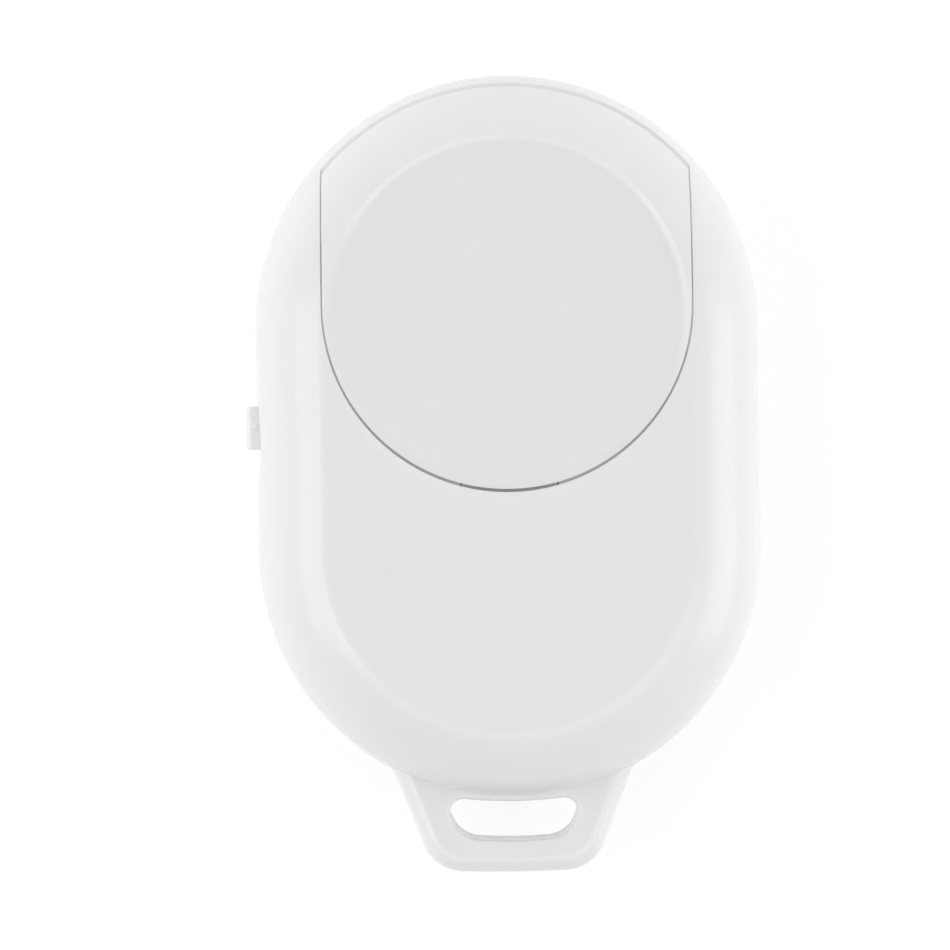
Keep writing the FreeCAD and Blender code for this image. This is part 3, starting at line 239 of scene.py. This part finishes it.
def rolledMetal(name, look):
    # long fine scratches along Y from the rolling, over a cloudy tarnish
    material, tree = newMaterial(name)
    tarnish = noiseField(tree, objectPoint(tree), rolling["tarnishScale"], 4.0)
    grain = noiseField(tree, objectPoint(tree, rolling["stretch"]), look["grain"], 3.0)
    coverWith(tree, {
        "Metallic": 1.0,
        "Base Color": blendColours(tree, tarnish, look["colour"], look["darker"]),
        "Roughness": remap(tree, grain, *look["roughness"]),
        "Normal": bumps(tree, [(grain, rolling["scratchDepth"]), (tarnish, rolling["tarnishDepth"])]),
    })
    return material


# plain moulded compounds: switch housings, chips, gasket, ceramic

switchResin = {"colour": (0.022, 0.022, 0.024), "paler": (0.045, 0.045, 0.048), "roughness": (0.45, 0.62)}
plungerResin = {"colour": (0.62, 0.58, 0.50), "paler": (0.70, 0.66, 0.58), "roughness": (0.35, 0.5)}
chipResin = {"colour": (0.016, 0.016, 0.018), "paler": (0.04, 0.04, 0.043), "roughness": (0.5, 0.7)}
firedClay = {"colour": (0.40, 0.27, 0.17), "paler": (0.55, 0.42, 0.30), "roughness": (0.35, 0.55)}
gasketResin = {"colour": (0.08, 0.08, 0.09), "paler": (0.14, 0.14, 0.15), "roughness": (0.5, 0.65)}
lightResin = {"colour": (0.78, 0.74, 0.55), "paler": (0.88, 0.86, 0.70), "roughness": (0.3, 0.45)}
mouldTexture = {"pitScale": 9000.0, "pitDepth": 0.000004, "waveScale": 600.0, "waveDepth": 0.000004}


def mouldedResin(name, look):
    # spark-eroded mould texture: fine pits with paler tops
    material, tree = newMaterial(name)
    point = objectPoint(tree)
    pits = noiseField(tree, point, mouldTexture["pitScale"], 3.0, 0.6)
    waves = noiseField(tree, point, mouldTexture["waveScale"])
    coverWith(tree, {
        "IOR": 1.5,
        "Base Color": blendColours(tree, pits, look["colour"], look["paler"]),
        "Roughness": remap(tree, pits, *look["roughness"]),
        "Normal": bumps(tree, [(pits, mouldTexture["pitDepth"]), (waves, mouldTexture["waveDepth"])]),
    })
    return material


boardLook = {
    "mask": (0.012, 0.10, 0.035),
    "overCopper": (0.030, 0.20, 0.07),
    "trackPitch": 0.0011,
    "trackWidth": 0.042,
    "trackEdge": 0.1,
    "trackLength": 6.0,
    "trackAngle": 45.0,
    "trackHeight": 0.00002,
    "roughness": 0.28,
    "clothScale": 3500.0,
    "clothDepth": 0.000003,
}


def solderMask(name, look):
    # green lacquer over copper tracks, which are the joints of a brick pattern, on glass cloth
    material, tree = newMaterial(name)
    tracks = addNode(tree, "ShaderNodeTexBrick", {
        "Vector": objectPoint(tree, angle=math.radians(look["trackAngle"])),
        "Scale": 1.0 / look["trackPitch"],
        "Mortar Size": look["trackWidth"],
        "Mortar Smooth": look["trackEdge"],
        "Brick Width": look["trackLength"],
        "Row Height": 1.0,
    }).outputs["Fac"]
    cloth = noiseField(tree, objectPoint(tree), look["clothScale"])
    coverWith(tree, {
        "IOR": 1.5,
        "Roughness": look["roughness"],
        "Base Color": blendColours(tree, tracks, look["mask"], look["overCopper"]),
        "Normal": bumps(tree, [(tracks, look["trackHeight"]), (cloth, look["clothDepth"])]),
    })
    return material


windowLook = {
    "colour": (0.93, 0.95, 0.96),
    "roughness": 0.08,
    "refraction": 1.49,
    "clearness": 0.85,
    "frostScale": 4000.0,
    "frostDepth": 0.000003,
}


def clearPlastic(name, look):
    material, tree = newMaterial(name)
    frost = noiseField(tree, objectPoint(tree), look["frostScale"])
    coverWith(tree, {
        "Base Color": opaque(look["colour"]),
        "Roughness": look["roughness"],
        "IOR": look["refraction"],
        "Transmission Weight": look["clearness"],
        "Normal": bumps(tree, [(frost, look["frostDepth"])]),
    })
    return material


finishes = {
    "rear_shell": whitePlastic("rearShellPlastic", shellPlastic, seamGrooveAndShade),
    "front_shell": whitePlastic("frontShellPlastic", shellPlastic, seamGrooveAndShade),
    "battery_door": whitePlastic("doorPlastic", doorPlastic),
    "large_button": whitePlastic("buttonPlastic", buttonPlastic),
    "power_slider": whitePlastic("sliderPlasticPaintedLight", sliderPlasticPaintedLight),
    "switch_base": mouldedResin("switchResin", switchResin),
    "switch_plunger": mouldedResin("plungerResin", plungerResin),
    "switch_sheet": rolledMetal("switchSteel", sheetSteel),
    "circuit_board": solderMask("solderMask", boardLook),
    "antenna_trace": rolledMetal("antennaCopper", goldCopper),
    "chip": mouldedResin("chipResin", chipResin),
    "capacitors": mouldedResin("firedClay", firedClay),
    "can": rolledMetal("cellSteel", cellSteel),
    "cell_gasket": mouldedResin("gasketResin", gasketResin),
    "contact": rolledMetal("springSteel", springSteel),
    "case_screws": rolledMetal("screwSteel", screwSteel),
    "status_led": mouldedResin("lightResin", lightResin),
    "led_window": clearPlastic("windowPlastic", windowLook),
}
sharedFinishes = {
    "small_button": "large_button",
    "slide_switch_lever": "power_slider",
    "large_switch_base": "switch_base",
    "small_switch_base": "switch_base",
    "slide_switch_base": "switch_base",
    "large_switch_plunger": "switch_plunger",
    "small_switch_plunger": "switch_plunger",
    "large_switch_cover": "switch_sheet",
    "small_switch_cover": "switch_sheet",
    "large_switch_dome": "switch_sheet",
    "small_switch_dome": "switch_sheet",
    "large_switch_legs": "switch_sheet",
    "small_switch_legs": "switch_sheet",
    "slide_switch_can": "switch_sheet",
    "radio_chip": "chip",
    "memory_chip": "chip",
    "resistors": "chip",
    "crystal_can": "can",
    "cell_can": "can",
    "cell_cap": "can",
    "negative_contact": "contact",
    "positive_contact": "contact",
}
for node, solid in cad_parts.items():
    slots = solid.data.materials
    slots.clear()
    slots.append(finishes[sharedFinishes.get(node, node)])
print("finishes given to", len(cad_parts), "solids")


# the floor: pale, it keeps the object's shadow, and shows white to the camera

floorLook = {"size": 4.0, "height": -0.00002, "colour": 0.85, "shownColour": 0.22, "glow": 0.82}


def makeFloor(look):
    half = look["size"] / 2
    corners = [(x * half, y * half, look["height"]) for x, y in ((-1, -1), (1, -1), (1, 1), (-1, 1))]
    mesh = bpy.data.meshes.new("floor")
    mesh.from_pydata(corners, [], [(0, 1, 2, 3)])
    floor = bpy.data.objects.new("floor", mesh)
    bpy.context.scene.collection.objects.link(floor)
    material, tree = newMaterial("floorPaper")
    grey = seenDirectly(tree, look["shownColour"], look["colour"])
    paper = addNode(tree, "ShaderNodeBsdfDiffuse", {"Color": grey})
    glow = addNode(tree, "ShaderNodeEmission", {"Strength": seenDirectly(tree, look["glow"], 0.0)})
    both = addNode(tree, "ShaderNodeAddShader", {0: paper.outputs[0], 1: glow.outputs[0]})
    addNode(tree, "ShaderNodeOutputMaterial", {"Surface": both.outputs[0]})
    mesh.materials.append(material)


makeFloor(floorLook)
print("floor laid")


# light: a white room, brightest at its left and right walls, a large soft box on each side of the
# remote, and three strips past its strap end, which show only in gloss and draw the rim of the dish

roomLook = {"shown": 1.0, "overhead": 0.198, "walls": 0.52, "sides": 1.06, "farEnd": 0.52}
softBoxes = {
    "leftSoftBox": {"polar": 45.0, "azimuth": 190.0, "level": 1.8},
    "rightSoftBox": {"polar": 70.0, "azimuth": -10.0, "level": 1.75},
}
glossStrips = {
    "nearLeftStrip": {"polar": 32.0, "azimuth": 225.0, "level": 1.3},
    "nearStrip": {"polar": 32.0, "azimuth": 270.0, "level": 1.2},
    "nearRightStrip": {"polar": 32.0, "azimuth": 315.0, "level": 1.7},
}
lampSizes = {"distance": 0.6, "softBox": (0.36, 0.40), "glossStrip": (0.26, 0.18)}


def makeRoom(look):
    # the level falls from the walls to overhead, and rises with x squared and towards the far end
    world = bpy.data.worlds.new("room")
    bpy.context.scene.world = world
    world.use_nodes = True
    tree = world.node_tree
    tree.nodes.clear()
    place = addNode(tree, "ShaderNodeTexCoord", {})
    way = addNode(tree, "ShaderNodeSeparateXYZ", {0: place.outputs["Generated"]})
    level = remap(tree, way.outputs["Z"], look["overhead"] + look["walls"], look["overhead"], 0.0, 1.0)
    sideways = calculate(tree, "MULTIPLY", way.outputs["X"], way.outputs["X"])
    level = calculate(tree, "MULTIPLY_ADD", sideways, look["sides"], level)
    level = calculate(tree, "ADD", level, remap(tree, way.outputs["Y"], 0.0, look["farEnd"], 0.0, 1.0))
    glow = addNode(tree, "ShaderNodeBackground", {
        "Color": (1.0, 1.0, 1.0, 1.0),
        "Strength": seenDirectly(tree, look["shown"], level),
    })
    addNode(tree, "ShaderNodeOutputWorld", {"Surface": glow.outputs[0]})


def makeBoxLight(name, look, size):
    # a rectangle of even glow that faces the remote; its level is its brightness beside white
    width, height = size
    light = bpy.data.lights.new(name, "AREA")
    light.shape = "RECTANGLE"
    light.size = width
    light.size_y = height
    light.energy = look["level"] * math.pi * width * height
    lamp = bpy.data.objects.new(name, light)
    bpy.context.scene.collection.objects.link(lamp)
    polar = math.radians(look["polar"])
    azimuth = math.radians(look["azimuth"])
    way = Vector((
        math.sin(polar) * math.cos(azimuth),
        math.sin(polar) * math.sin(azimuth),
        math.cos(polar),
    ))
    lamp.location = way * lampSizes["distance"]
    lamp.rotation_euler = way.to_track_quat("Z", "Y").to_euler()
    return lamp


makeRoom(roomLook)
for name, look in softBoxes.items():
    makeBoxLight(name, look, lampSizes["softBox"])
for name, look in glossStrips.items():
    makeBoxLight(name, look, lampSizes["glossStrip"]).visible_diffuse = False
print("light set")


# the camera looks straight down on the rear face

cameraLook = {
    "aim": (-0.00216, -0.0024, 0.0055),
    "distance": 0.270,
    "lens": 160.5,
    "sensor": 36.0,
    "roll": -0.835,
    "nearest": 0.01,
}


def makeCamera(look):
    data = bpy.data.cameras.new("camera")
    data.lens = look["lens"]
    data.sensor_width = look["sensor"]
    data.clip_start = look["nearest"]
    camera = bpy.data.objects.new("camera", data)
    bpy.context.scene.collection.objects.link(camera)
    camera.location = Vector(look["aim"]) + Vector((0.0, 0.0, look["distance"]))
    camera.rotation_euler = (0.0, 0.0, math.radians(look["roll"]))
    bpy.context.scene.camera = camera


makeCamera(cameraLook)
bpy.context.scene.view_settings.view_transform = "Standard"
print("camera set")
